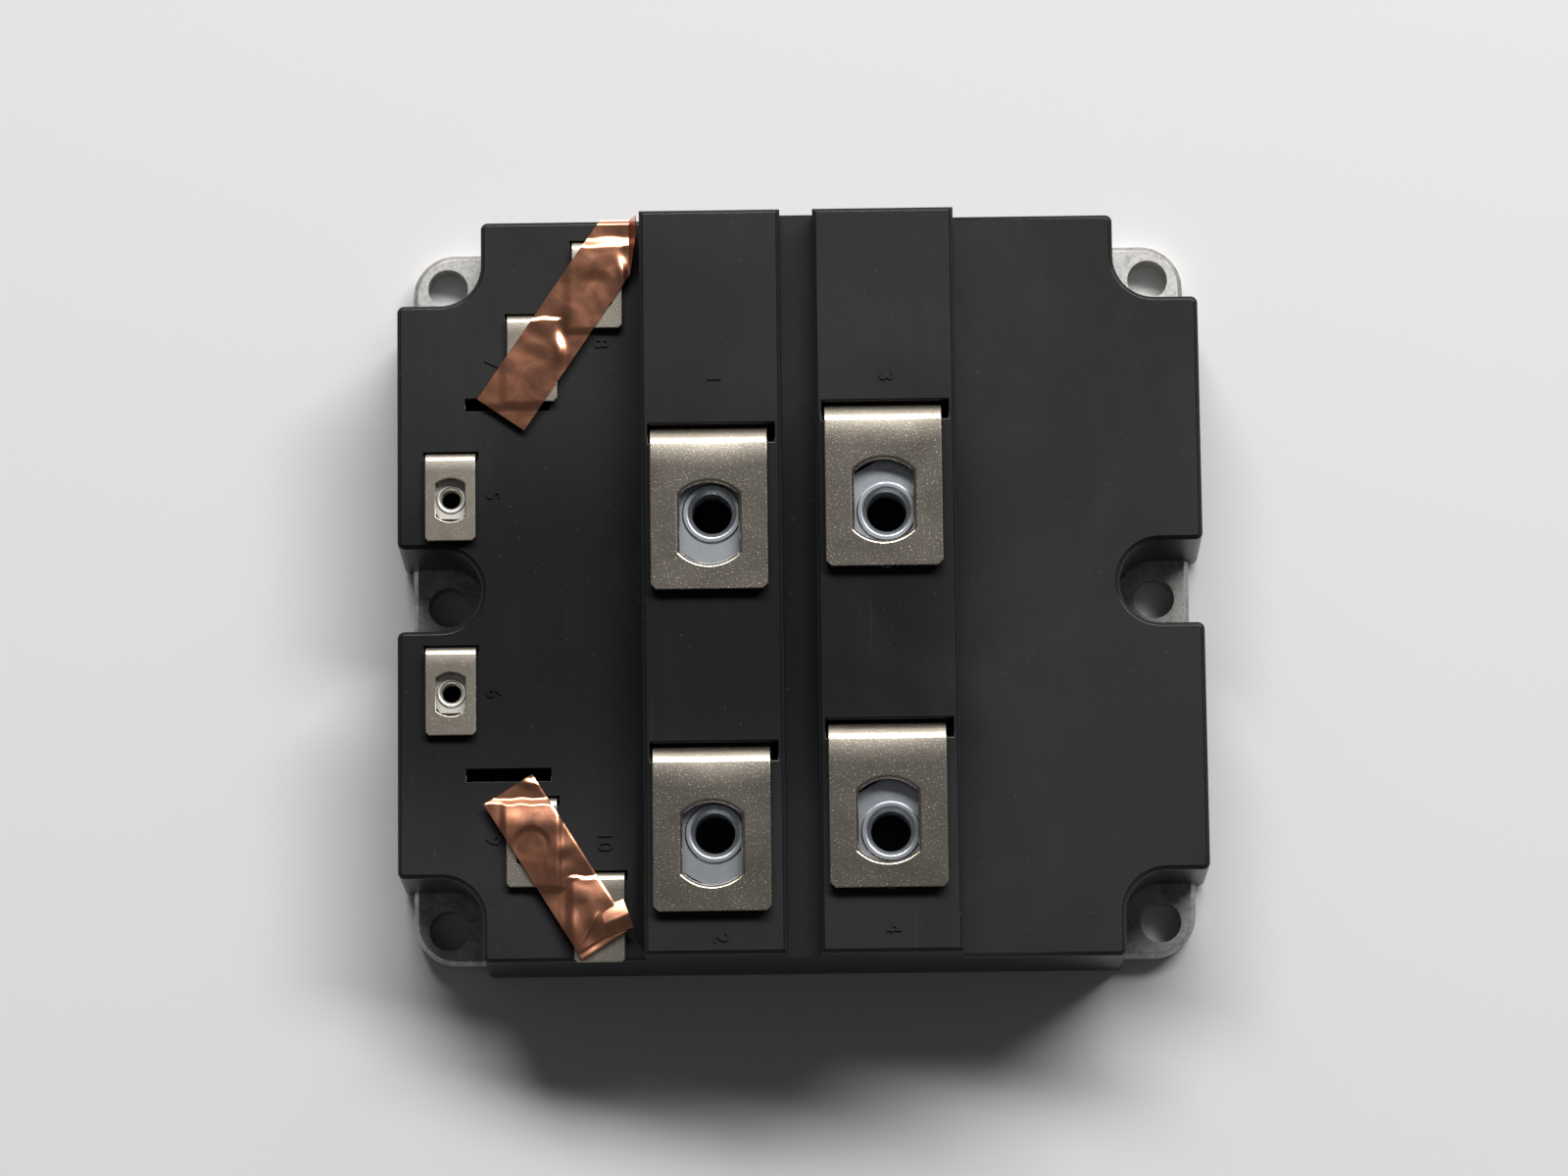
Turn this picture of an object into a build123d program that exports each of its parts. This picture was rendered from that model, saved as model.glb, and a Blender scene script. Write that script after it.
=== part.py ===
from build123d import *
from math import cos, radians, sin, tan
import os

# Power semiconductor module, in millimetres.
# X runs along the long side, Y along the short side and Z up from the mounting face.

# Housing
case_length = 140.0
case_width = 130.0
skirt_height = 1.5            # lower edge of the housing above the mounting face
deck_height = 26.5
tower_rise = 9.5              # towers above the deck
groove_width = 5.6
groove_share = 0.653          # depth of the groove, as a share of the towers' rise
wall = 2.5
seat_wall = 3.8               # thicker wall where the housing stands on the plate
seat_ledge = 4.0              # height of that thicker wall
deck_wall = 3.0
tower_roof = 3.0
draft_angle = 1.5
corner_round = 1.2            # upright corners, seen from above
corner_band = 0.49            # share of the case beyond which an upright edge is an outer corner
edge_round = 0.6              # rims of the deck and towers
rim_chamfer = 0.3             # rims of the terminal slots

# Base plate
plate_inset = 1.85            # how far the housing overhangs the plate
plate_thickness = 5.0
plate_corner = 7.5
plate_edge = 0.8              # chamfer round the upper edge
skirt_clearance = 0.25
glue_thickness = 0.3

# Mounting holes and the notches that clear their screw heads
hole_inset = 8.0              # from the housing's sides
mount_hole_diameter = 7.0
notch_radius = 7.2            # at the deck
inner_notch_sides = 12        # flats of a full turn on the inner walls

# Main terminals
main_width = 20.0
main_thickness = 1.5
main_tab_rise = 2.0           # face of the tab above the tower
main_tab_length = 28.0
main_bend = 1.4               # inside radius
main_corner = 0.9
main_hole_diameter = 14.0
main_hole_flats = 10.0
main_hole_from_end = 11.4
main_hole_rim = 0.5
main_leg_width = 7.0
main_leg_top = 14.0
main_foot_length = 6.0
main_pitch_share = 0.42154    # pitch of a tower's two terminals, as a share of the case width
left_back_y = -1.5            # middle of the left tower's two risers
right_back_y = 2.15           # middle of the right tower's two risers
main_side_shift = -0.45       # the straps stand to one side in their slots
main_slot_side = 0.875
main_slot_end = 0.75
tower_side_wall = 1.225       # outside the slot

# Control terminals
control_width = 8.7
control_thickness = 0.8
control_tab_rise = 1.5        # face of the tab above the deck
control_tab_length = 15.3
control_bend = 0.6
control_corner = 0.6
control_hole_diameter = 7.6
control_hole_flats = 5.0
control_hole_from_end = 7.1
control_leg_width = 3.0
control_arm_height = 3.0
control_arm_clearance = 0.5   # below the nut cups
control_foot_length = 5.0
control_slot_side = 0.35
control_slot_end = 0.4
control_1_inset = 9.9         # middle from the case's left side
control_2_inset = 9.9
control_3_inset = 18.9        # middle from the tower's wall
control_4_inset = 7.6
control_5_inset = 19.35
control_6_inset = 7.85
control_1_gap = 1.1           # end of the tab from the notch
control_3_share = 0.734       # riser from the middle, as a share of half the case width
control_5_share = 0.5585
control_4_back = 4.5          # riser from the nearer long side
control_6_back = 15.8

# Captive nuts
main_nut_flats = 17.0         # fills the hole in the tab, corners along Y
main_nut_height = 6.5
main_nut_bore = 6.8
main_nut_collar = 10.0
main_nut_collar_height = 1.2
main_nut_row_y = -16.15       # middle of each tower's two nuts
main_nut_drop = 1.0           # nut face below the tower top
control_nut_flats = 7.0
control_nut_height = 3.2
control_nut_bore = 3.3
control_nut_collar = 4.9
control_nut_collar_height = 0.9
control_nut_from_back = 7.8   # nut behind the riser's back face
control_nut_drop = 0.5        # nut face below the deck
nut_clearance = 0.15
screw_clearance = 0.6         # round the screw, below each nut
main_screw = 8.0
control_screw = 4.0
main_well_depth = 8.5         # below the nut
control_well_depth = 5.0
cup_wall = 2.0
corner_along_x = 0.0          # turn of a hexagon
corner_along_y = 30.0

# Creepage slits in the deck
slit_length = 14.5
slit_width = 2.2
slit_depth = 7.0
slit_inset = 23.3             # middle from the tower's wall
slit_gap = 8.6                # middle from the riser of the first control terminal
slit_wall = 1.5

# Foil strips across the control terminals
foil_width = 9.8
foil_thickness = 0.15
foil_tower_gap = 0.3
foil_1_angle = 55.7           # from the X axis
foil_1_start = -19.7          # from the middle between its two tabs
foil_1_end = 24.0
foil_2_angle = -58.0
foil_2_start = -18.4
foil_2_end = 13.1
foil_flap_height = 2.5

# Substrates
substrate_gap_x = 6.0
substrate_gap_y = 10.0
substrate_side_clearance = 1.0
substrate_end_clearance = 4.6
solder_thickness = 0.25
copper_thickness = 0.3
ceramic_thickness = 1.0
copper_margin = 0.6
pad_gap = 1.0
control_pad_width = 6.4
foot_margin = 3.0
chips_per_row = 3
chip_gap = 1.0
chip_thickness = 0.25
igbt_share = 0.767            # depth of the chips, as a share of their narrowest pad
diode_share = 0.875
wire_size = 0.4
wire_foot = 0.8
wire_rise = 1.8
wires_per_igbt = 2
wires_per_diode = 1
resistor_length = 3.2
resistor_width = 1.6
resistor_height = 0.6
gel_level = 12.0
gel_gap = 0.1

# Values worked out from the sizes above
slope = tan(radians(draft_angle))
tower_height = deck_height + tower_rise
groove_height = tower_height - groove_share * tower_rise
main_top = tower_height + main_tab_rise
control_top = deck_height + control_tab_rise
main_pitch_y = main_pitch_share * case_width
hole_x = case_length / 2 - hole_inset
hole_y = case_width / 2 - hole_inset
plate_length = case_length - 2 * plate_inset
plate_width = case_width - 2 * plate_inset
tower_width = main_width + 2 * (main_slot_side + tower_side_wall)
tower_x = (groove_width + tower_width) / 2
tower_outer_x = groove_width / 2 + tower_width
ceiling = deck_height - deck_wall
seat_height = plate_thickness + glue_thickness
ledge_height = plate_thickness + seat_ledge
notch_root = notch_radius - (deck_height - skirt_height) * slope
deck_edge_y = case_width / 2 - (deck_height - skirt_height) * slope
tower_edge_y = case_width / 2 - (tower_height - skirt_height) * slope
circuit_height = plate_thickness + solder_thickness + 2 * copper_thickness + ceramic_thickness
main_nut_face = tower_height - main_nut_drop
control_nut_face = deck_height - control_nut_drop

main_backs = [
    (-tower_x, left_back_y + main_pitch_y / 2),
    (-tower_x, left_back_y - main_pitch_y / 2),
    (tower_x, right_back_y + main_pitch_y / 2),
    (tower_x, right_back_y - main_pitch_y / 2),
]
main_nut_spots = [
    (x, main_nut_row_y + side * main_pitch_y / 2)
    for x in (-tower_x, tower_x)
    for side in (1, -1)
]

# Middle and back face of each control terminal
control_backs = [
    (-case_length / 2 + control_1_inset, notch_radius + control_1_gap + control_tab_length),
    (-case_length / 2 + control_2_inset, -notch_radius - wall - control_slot_end),
    (-tower_outer_x - control_3_inset, control_3_share * case_width / 2),
    (-tower_outer_x - control_4_inset, case_width / 2 - control_4_back),
    (-tower_outer_x - control_5_inset, -control_5_share * case_width / 2),
    (-tower_outer_x - control_6_inset, -case_width / 2 + control_6_back),
]
control_nut_spots = [(x, y - control_nut_from_back) for x, y in control_backs]
slit_x = -tower_outer_x - slit_inset
slit_y = control_backs[0][1] + slit_gap

# Nut pockets, the screw wells below them and the cups round both
main_seat = main_nut_face - main_nut_height
main_floor = main_seat - main_well_depth
main_pocket = main_nut_flats / 2 + nut_clearance
main_cup_length = main_nut_flats / cos(radians(30)) + 2 * cup_wall
control_seat = control_nut_face - control_nut_height
control_floor = control_seat - control_well_depth
control_pocket = control_nut_flats / 2 + nut_clearance
control_cup = control_nut_flats + 2 * cup_wall
control_leg_top = control_floor - cup_wall - control_arm_clearance - control_arm_height

# Edges of the four substrates, measured out from the module's middle
substrate_in_x = substrate_gap_x / 2
substrate_out_x = hole_x - notch_radius - seat_wall - substrate_side_clearance
substrate_in_y = substrate_gap_y / 2
substrate_out_y = tower_edge_y - wall - substrate_end_clearance
control_pad_out_x = substrate_out_x - copper_margin
control_pad_in_x = control_pad_out_x - control_pad_width
control_foot_x = -(control_pad_in_x + control_pad_out_x) / 2
power_pad_in_x = substrate_in_x + copper_margin
power_pad_out_x = control_pad_in_x - pad_gap

# The narrowest chip pads lie at the left tower's upper feet and the right tower's lower feet
pad_inset = foot_margin + pad_gap + substrate_in_y + copper_margin
diode_depth = diode_share * (main_backs[0][1] - main_foot_length - pad_inset)
igbt_depth = igbt_share * (-main_backs[3][1] - pad_inset)


def screw_notches(radius, sides):
    # Round where they are seen, with a few flat sides on the hidden inner walls
    reach = case_length
    with BuildSketch() as notches:
        with Locations((hole_x, 0), (hole_x, hole_y)):
            if sides:
                RegularPolygon(radius, sides, major_radius=False, rotation=180 / sides)
            else:
                Circle(radius)
        with Locations((hole_x, 0)):
            Rectangle(reach, 2 * radius, align=(Align.MIN, Align.CENTER))
        with Locations((hole_x - radius, hole_y), (hole_x, hole_y - radius)):
            Rectangle(reach, reach, align=(Align.MIN, Align.MIN))
        mirror(about=Plane.XZ)
        mirror(about=Plane.YZ)
    return notches.sketch


def case_outline(inset, notch_sides=0):
    # Plan of the housing at its lower edge, drawn in by the inset
    with BuildSketch() as outline:
        Rectangle(case_length - 2 * inset, case_width - 2 * inset)
        add(screw_notches(notch_root + inset, notch_sides), mode=Mode.SUBTRACT)
    return outline.sketch


def draft_inset(height):
    return (height - skirt_height) * slope


# Base plate
with BuildPart() as base_plate:
    with BuildSketch():
        RectangleRounded(plate_length, plate_width, plate_corner)
        with GridLocations(2 * hole_x, hole_y, 2, 3):
            Circle(mount_hole_diameter / 2, mode=Mode.SUBTRACT)
    extrude(amount=plate_thickness)
    chamfer(base_plate.faces().sort_by(Axis.Z)[-1].outer_wire().edges(), plate_edge)

# Housing: drafted block, cut to the deck and groove, then hollowed from below
with BuildPart() as housing:
    with BuildSketch(Plane.XY.offset(skirt_height)):
        add(case_outline(0))
    extrude(amount=tower_height - skirt_height, taper=draft_angle)
    with BuildSketch(Plane.XY.offset(deck_height)):
        with Locations((tower_outer_x, 0)):
            Rectangle(case_length, 2 * case_width, align=(Align.MIN, Align.CENTER))
        mirror(about=Plane.YZ)
    extrude(amount=tower_height, mode=Mode.SUBTRACT)
    with BuildSketch(Plane.XY.offset(groove_height)):
        Rectangle(groove_width, 2 * case_width)
    extrude(amount=tower_height, mode=Mode.SUBTRACT)

    # Upright corners, then the rims of the deck and towers
    upright_corners = [
        edge
        for edge in housing.edges()
        if edge.bounding_box().size.Z > deck_height - 2 * skirt_height
        and max(abs(edge.center().X) / case_length, abs(edge.center().Y) / case_width) > corner_band
    ]
    fillet(upright_corners, corner_round)
    tower_tops = housing.faces().filter_by(Axis.Z).group_by(Axis.Z)[-1]
    tower_rims = tower_tops.edges()
    deck_tops = [
        face
        for face in housing.faces().filter_by(Axis.Z)
        if abs(face.center().Z - deck_height) < edge_round and face.normal_at().Z > 0
    ]
    deck_rims = [
        edge
        for face in deck_tops
        for edge in face.edges()
        if abs(edge.center().X) > tower_outer_x + edge_round / 2
    ]
    chamfer(list(tower_rims) + deck_rims, edge_round)

    # Room for the plate, then the cavity and the towers' cores
    with BuildSketch(Plane.XY.offset(skirt_height)):
        RectangleRounded(
            plate_length + 2 * skirt_clearance,
            plate_width + 2 * skirt_clearance,
            plate_corner + skirt_clearance,
        )
    extrude(amount=seat_height - skirt_height, mode=Mode.SUBTRACT)
    with BuildSketch(Plane.XY.offset(plate_thickness)):
        add(case_outline(seat_wall + draft_inset(plate_thickness), inner_notch_sides))
    extrude(amount=seat_ledge, mode=Mode.SUBTRACT)
    with BuildSketch(Plane.XY.offset(ledge_height)):
        add(case_outline(wall + draft_inset(ledge_height), inner_notch_sides))
    extrude(amount=ceiling - ledge_height, mode=Mode.SUBTRACT)
    with BuildSketch(Plane.XY.offset(ceiling)):
        with Locations((-tower_x, 0), (tower_x, 0)):
            Rectangle(tower_width - 2 * wall, 2 * (tower_edge_y - wall))
    extrude(amount=tower_height - tower_roof - ceiling, mode=Mode.SUBTRACT)

    # Cups that hold the nuts and the screw ends, and the walls of the slits
    with BuildSketch(Plane.XY.offset(main_floor - cup_wall)):
        with Locations(*main_nut_spots):
            Rectangle(tower_width - wall, main_cup_length)
    extrude(amount=tower_height - tower_roof / 2 - main_floor + cup_wall)
    with BuildSketch(Plane.XY.offset(control_floor - cup_wall)):
        with Locations(*control_nut_spots):
            Rectangle(control_cup, control_cup)
    extrude(amount=deck_height - deck_wall / 2 - control_floor + cup_wall)
    with BuildSketch(Plane.XY.offset(deck_height - slit_depth - slit_wall)):
        with Locations((slit_x, slit_y), (slit_x, -slit_y)):
            Rectangle(slit_length + 2 * slit_wall, slit_width + 2 * slit_wall)
    extrude(amount=slit_depth + slit_wall - deck_wall / 2)

    # Pockets, screw wells and slits
    with BuildSketch(Plane.XY.offset(main_seat)):
        with Locations(*main_nut_spots):
            RegularPolygon(main_pocket, 6, major_radius=False, rotation=corner_along_y)
    extrude(amount=tower_height, mode=Mode.SUBTRACT)
    with BuildSketch(Plane.XY.offset(main_floor)):
        with Locations(*main_nut_spots):
            RegularPolygon(main_screw / 2 + screw_clearance, 6, major_radius=False)
    extrude(amount=main_well_depth, mode=Mode.SUBTRACT)
    with BuildSketch(Plane.XY.offset(control_seat)):
        with Locations(*control_nut_spots):
            RegularPolygon(control_pocket, 6, major_radius=False, rotation=corner_along_x)
    extrude(amount=tower_height, mode=Mode.SUBTRACT)
    with BuildSketch(Plane.XY.offset(control_floor)):
        with Locations(*control_nut_spots):
            RegularPolygon(control_screw / 2 + screw_clearance, 6, major_radius=False)
    extrude(amount=control_well_depth, mode=Mode.SUBTRACT)
    with BuildSketch(Plane.XY.offset(deck_height - slit_depth)):
        with Locations((slit_x, slit_y), (slit_x, -slit_y)):
            Rectangle(slit_length, slit_width)
    extrude(amount=tower_height, mode=Mode.SUBTRACT)

    # Slots for the straps, open down to the cavity
    with BuildSketch(Plane.XY.offset(ceiling - tower_roof)):
        for x, back_y in main_backs:
            with Locations((x, back_y - main_thickness / 2)):
                Rectangle(main_width + 2 * main_slot_side, main_thickness + 2 * main_slot_end)
    extrude(amount=tower_height, mode=Mode.SUBTRACT)
    with BuildSketch(Plane.XY.offset(ceiling - deck_wall)):
        for x, back_y in control_backs:
            with Locations((x, back_y - control_thickness / 2)):
                Rectangle(
                    control_width + 2 * control_slot_side,
                    control_thickness + 2 * control_slot_end,
                )
    extrude(amount=tower_height, mode=Mode.SUBTRACT)

    # Broken edges round the strap slots, on the tower tops
    slot_rims = [
        edge
        for edge in housing.faces().filter_by(Axis.Z).group_by(Axis.Z)[-1].edges().filter_by(Axis.X)
        if abs(edge.length - main_width - 2 * main_slot_side) < rim_chamfer
    ]
    chamfer(slot_rims, rim_chamfer)

# Bead that seals the housing to the plate
with BuildPart() as housing_adhesive:
    with BuildSketch(Plane.XY.offset(plate_thickness)):
        add(case_outline(draft_inset(seat_height), inner_notch_sides))
        RectangleRounded(
            plate_length - 2 * plate_edge,
            plate_width - 2 * plate_edge,
            plate_corner - plate_edge,
            mode=Mode.INTERSECT,
        )
        add(case_outline(seat_wall + draft_inset(plate_thickness), inner_notch_sides), mode=Mode.SUBTRACT)
    extrude(amount=glue_thickness)


def flatted_hole(x, y, height, diameter, flats):
    with BuildSketch(Plane.XY.offset(height)) as hole:
        with Locations((x, y)):
            Circle(diameter / 2)
            Rectangle(flats, diameter, mode=Mode.INTERSECT)
    return hole.sketch


def bent_strap(x, back_y, width, thickness, top, tab_length, bend, foot_length, legs_x, leg_width,
               leg_top, arm_height, corner, hole_diameter, hole_flats, hole_from_end):
    # A strap with a folded foot, a riser and a tab, bent from one blank
    left = min(x - width / 2, min(legs_x) - leg_width / 2)
    right = max(x + width / 2, max(legs_x) + leg_width / 2)
    end_y = back_y - tab_length
    with BuildPart() as strap:
        with BuildSketch(Plane.YZ.offset(left)):
            with BuildLine() as profile:
                Polyline(
                    (back_y - foot_length, circuit_height),
                    (back_y, circuit_height),
                    (back_y, top),
                    (end_y, top),
                )
                fillet(profile.vertices().group_by(Axis.Y)[-1].sort_by(Axis.X)[-1], bend + thickness)
                offset(amount=thickness, side=Side.LEFT, kind=Kind.INTERSECTION, mode=Mode.ADD)
            make_face()
        extrude(amount=right - left)
        # Outline of the blank, seen from the front
        with BuildSketch(Plane.XZ.offset(-back_y - thickness)):
            with Locations((x, leg_top)):
                Rectangle(width, top - leg_top + thickness, align=(Align.CENTER, Align.MIN))
            with Locations((left, leg_top)):
                Rectangle(right - left, arm_height, align=(Align.MIN, Align.MIN))
            for leg_x in legs_x:
                with Locations((leg_x, 0)):
                    Rectangle(leg_width, leg_top + arm_height, align=(Align.CENTER, Align.MIN))
        extrude(amount=tab_length + 2 * thickness, mode=Mode.INTERSECT)
        chamfer(strap.edges().filter_by(Axis.Z).group_by(Axis.Y)[0], corner)
        hole = flatted_hole(x, end_y + hole_from_end, top, hole_diameter, hole_flats)
        extrude(hole, amount=-2 * thickness, mode=Mode.SUBTRACT)
    return strap.part


def main_strap(slot_x, back_y):
    x = slot_x + main_side_shift
    leg_spread = (main_width - main_leg_width) / 2
    with BuildPart() as strap:
        add(bent_strap(
            x, back_y, main_width, main_thickness, main_top, main_tab_length, main_bend,
            main_foot_length, [x - leg_spread, x + leg_spread], main_leg_width, main_leg_top,
            main_thickness, main_corner, main_hole_diameter, main_hole_flats, main_hole_from_end,
        ))
        tab_face = strap.faces().filter_by(Axis.Z).sort_by(Axis.Z)[-1]
        chamfer(tab_face.inner_wires()[0].edges(), main_hole_rim)
    return strap.part


def control_strap(x, back_y):
    # The foot reaches in where the riser stands outside the substrate
    foot_length = max(control_foot_length, back_y - substrate_out_y + control_foot_length)
    return bent_strap(
        x, back_y, control_width, control_thickness, control_top, control_tab_length, control_bend,
        foot_length, [control_foot_x], control_leg_width, control_leg_top, control_arm_height,
        control_corner, control_hole_diameter, control_hole_flats, control_hole_from_end,
    )


def collared_nuts(spots, turn, face, flats, height, bore, collar, collar_height):
    with BuildPart() as nuts:
        with BuildSketch(Plane.XY.offset(face - height)):
            with Locations(*spots):
                RegularPolygon(flats / 2, 6, major_radius=False, rotation=turn)
        extrude(amount=height)
        with BuildSketch(Plane.XY.offset(face)):
            with Locations(*spots):
                Circle(collar / 2)
        extrude(amount=collar_height)
        with BuildSketch(Plane.XY.offset(face - height)):
            with Locations(*spots):
                Circle(bore / 2)
        extrude(amount=height + collar_height, mode=Mode.SUBTRACT)
    return nuts.part


main_terminals = [main_strap(x, y) for x, y in main_backs]
control_terminals = [control_strap(x, y) for x, y in control_backs]
main_nuts = collared_nuts(
    main_nut_spots, corner_along_y, main_nut_face, main_nut_flats, main_nut_height,
    main_nut_bore, main_nut_collar, main_nut_collar_height,
)
control_nuts = collared_nuts(
    control_nut_spots, corner_along_x, control_nut_face, control_nut_flats, control_nut_height,
    control_nut_bore, control_nut_collar, control_nut_collar_height,
)


def foil_strip(first, second, angle, start, end):
    # A strip laid across two control tabs, through the middle between them
    middle_x = (first[0] + second[0]) / 2
    middle_y = (first[1] + second[1] - control_tab_length) / 2
    along = (cos(radians(angle)), sin(radians(angle)), 0)
    with BuildPart() as strip:
        with BuildSketch(Plane(origin=(middle_x, middle_y, control_top), x_dir=along)):
            with Locations((start, 0)):
                Rectangle(end - start, foil_width, align=(Align.MIN, Align.CENTER))
        extrude(amount=foil_thickness)
    return strip.part


# The first strip runs up to the tower, where its corner is folded up against the wall
foil_limit_x = -tower_outer_x - foil_tower_gap
with BuildPart() as shorting_foil_1:
    add(foil_strip(control_backs[2], control_backs[3], foil_1_angle, foil_1_start, foil_1_end))
    with BuildSketch(Plane.XY.offset(control_top)):
        with Locations((foil_limit_x, deck_edge_y)):
            Rectangle(case_length, 2 * case_width, align=(Align.MAX, Align.MAX))
    extrude(amount=foil_thickness, mode=Mode.INTERSECT)
    fold = shorting_foil_1.edges().filter_by(Axis.Y).group_by(Axis.X)[-1][0]
    fold_start = min(fold.position_at(0).Y, fold.position_at(1).Y)
    with BuildSketch(Plane.YZ.offset(foil_limit_x)):
        with BuildLine():
            Polyline(
                (fold_start, control_top),
                (deck_edge_y, control_top),
                (deck_edge_y, control_top + foil_flap_height),
                close=True,
            )
        make_face()
    extrude(amount=-foil_thickness)
with BuildPart() as shorting_foil_2:
    add(foil_strip(control_backs[4], control_backs[5], foil_2_angle, foil_2_start, foil_2_end))


def plate_layer(x_low, x_high, y_low, y_high, height, thickness):
    with BuildPart() as layer:
        with BuildSketch(Plane.XY.offset(height)):
            with Locations(((x_low + x_high) / 2, (y_low + y_high) / 2)):
                Rectangle(abs(x_high - x_low), y_high - y_low)
        extrude(amount=thickness)
    return layer.part


def wire_loop(x, width, chip_end, pad_end):
    chip_top = circuit_height + chip_thickness
    toward = 1 if pad_end > chip_end else -1
    upper_side = Side.LEFT if pad_end > chip_end else Side.RIGHT
    with BuildPart() as loop:
        with BuildSketch(Plane.YZ.offset(x - width / 2)):
            with BuildLine():
                Polyline(
                    (chip_end - toward * wire_foot, chip_top),
                    (chip_end, chip_top),
                    ((chip_end + pad_end) / 2, chip_top + wire_rise),
                    (pad_end, circuit_height),
                    (pad_end + toward * wire_foot, circuit_height),
                )
                offset(amount=wire_size, side=upper_side, kind=Kind.INTERSECTION, mode=Mode.ADD)
            make_face()
        extrude(amount=width)
    return loop.part


pieces = {
    "base_plate": base_plate.part,
    "housing": housing.part,
    "housing_adhesive": housing_adhesive.part,
    "main_nuts": main_nuts,
    "control_nuts": control_nuts,
    "shorting_foil_1": shorting_foil_1.part,
    "shorting_foil_2": shorting_foil_2.part,
}
for number, strap in enumerate(main_terminals, 1):
    pieces[f"main_terminal_{number}"] = strap
for number, strap in enumerate(control_terminals, 1):
    pieces[f"control_terminal_{number}"] = strap

# Substrates: each lies under one main terminal and is laid out round that terminal's feet
potted = list(main_terminals) + list(control_terminals)
for number, (slot_x, back_y) in enumerate(main_backs, 1):
    side = 1 if slot_x > 0 else -1
    y_low = substrate_in_y if back_y > 0 else -substrate_out_y
    y_high = y_low + substrate_out_y - substrate_in_y
    in_x = side * substrate_in_x
    out_x = side * substrate_out_x
    copper_low = y_low + copper_margin
    copper_high = y_high - copper_margin
    back_height = plate_thickness + solder_thickness
    back_edges = (
        in_x + side * copper_margin, out_x - side * copper_margin, copper_low, copper_high
    )
    solder = plate_layer(*back_edges, plate_thickness, solder_thickness)
    back_copper = plate_layer(*back_edges, back_height, copper_thickness)
    ceramic = plate_layer(
        in_x, out_x, y_low, y_high, back_height + copper_thickness, ceramic_thickness
    )

    # Circuit: a pad for the feet, a chip pad on each side of it and two control pads
    feet_low = back_y - main_foot_length - foot_margin
    feet_high = back_y + foot_margin
    pad_length = power_pad_out_x - power_pad_in_x
    pad_x = side * (power_pad_in_x + power_pad_out_x) / 2
    control_x = side * abs(control_foot_x)
    middle_y = (y_low + y_high) / 2
    igbt_low = feet_high + pad_gap
    diode_high = feet_low - pad_gap
    power_rows = [(feet_low, feet_high), (igbt_low, copper_high), (copper_low, diode_high)]
    control_rows = [(copper_low, middle_y - pad_gap / 2), (middle_y + pad_gap / 2, copper_high)]
    with BuildPart() as circuit:
        with BuildSketch(Plane.XY.offset(circuit_height - copper_thickness)):
            for low, high in power_rows:
                with Locations((pad_x, (low + high) / 2)):
                    Rectangle(pad_length, high - low)
            for low, high in control_rows:
                with Locations((control_x, (low + high) / 2)):
                    Rectangle(control_pad_width, high - low)
        extrude(amount=copper_thickness)

    # Chips in two rows
    chip_pitch = pad_length / chips_per_row
    igbt_y = (igbt_low + copper_high) / 2
    diode_y = (copper_low + diode_high) / 2
    chip_rows = {"igbt": (igbt_y, igbt_depth), "diode": (diode_y, diode_depth)}
    chips = {}
    for kind, (row_y, depth) in chip_rows.items():
        with BuildPart() as row:
            with BuildSketch(Plane.XY.offset(circuit_height)):
                with Locations((pad_x, row_y)):
                    with GridLocations(chip_pitch, 0, chips_per_row, 1):
                        Rectangle(chip_pitch - chip_gap, depth)
            extrude(amount=chip_thickness)
        chips[kind] = row.part

    # Bond wires from the chips to the pad between them
    wire_rows = [
        (igbt_y - igbt_depth / 4, feet_high - foot_margin / 2, wires_per_igbt),
        (diode_y + diode_depth / 4, feet_low + foot_margin / 2, wires_per_diode),
    ]
    with BuildPart() as bond_wires:
        for chip_end, pad_end, wires_per_chip in wire_rows:
            row_count = chips_per_row * wires_per_chip
            wire_pitch = pad_length / row_count
            for wire in range(row_count):
                wire_x = pad_x + (wire - (row_count - 1) / 2) * wire_pitch
                add(wire_loop(wire_x, wire_size, chip_end, pad_end))
            potted.append(wire_loop(pad_x, pad_length, chip_end, pad_end))
    with BuildPart() as gate_resistor:
        with BuildSketch(Plane.XY.offset(circuit_height)):
            with Locations((control_x, middle_y)):
                Rectangle(resistor_width, resistor_length)
        extrude(amount=resistor_height)
    stack = {
        "substrate_solder": solder,
        "substrate_back_copper": back_copper,
        "substrate_ceramic": ceramic,
        "substrate_circuit": circuit.part,
        "igbt_chips": chips["igbt"],
        "diode_chips": chips["diode"],
        "bond_wires": bond_wires.part,
        "gate_resistor": gate_resistor.part,
    }
    for name, piece in stack.items():
        pieces[f"{name}_{number}"] = piece
    stack_height = circuit_height + chip_thickness - plate_thickness
    potted.append(plate_layer(in_x, out_x, y_low, y_high, plate_thickness, stack_height))
    potted.append(gate_resistor.part)

# Soft gel that covers the substrates
with BuildPart() as silicone_gel:
    with BuildSketch(Plane.XY.offset(plate_thickness)):
        add(case_outline(seat_wall + gel_gap + draft_inset(plate_thickness), inner_notch_sides))
    extrude(amount=gel_level - plate_thickness)
    add(potted, mode=Mode.SUBTRACT)
pieces["silicone_gel"] = silicone_gel.part

os.makedirs("parts", exist_ok=True)
for name, piece in pieces.items():
    piece.label = name
    export_step(piece, f"parts/{name}.step")
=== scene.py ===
import math

import bmesh
import bpy
from mathutils import Matrix, Vector, geometry, noise


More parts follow.
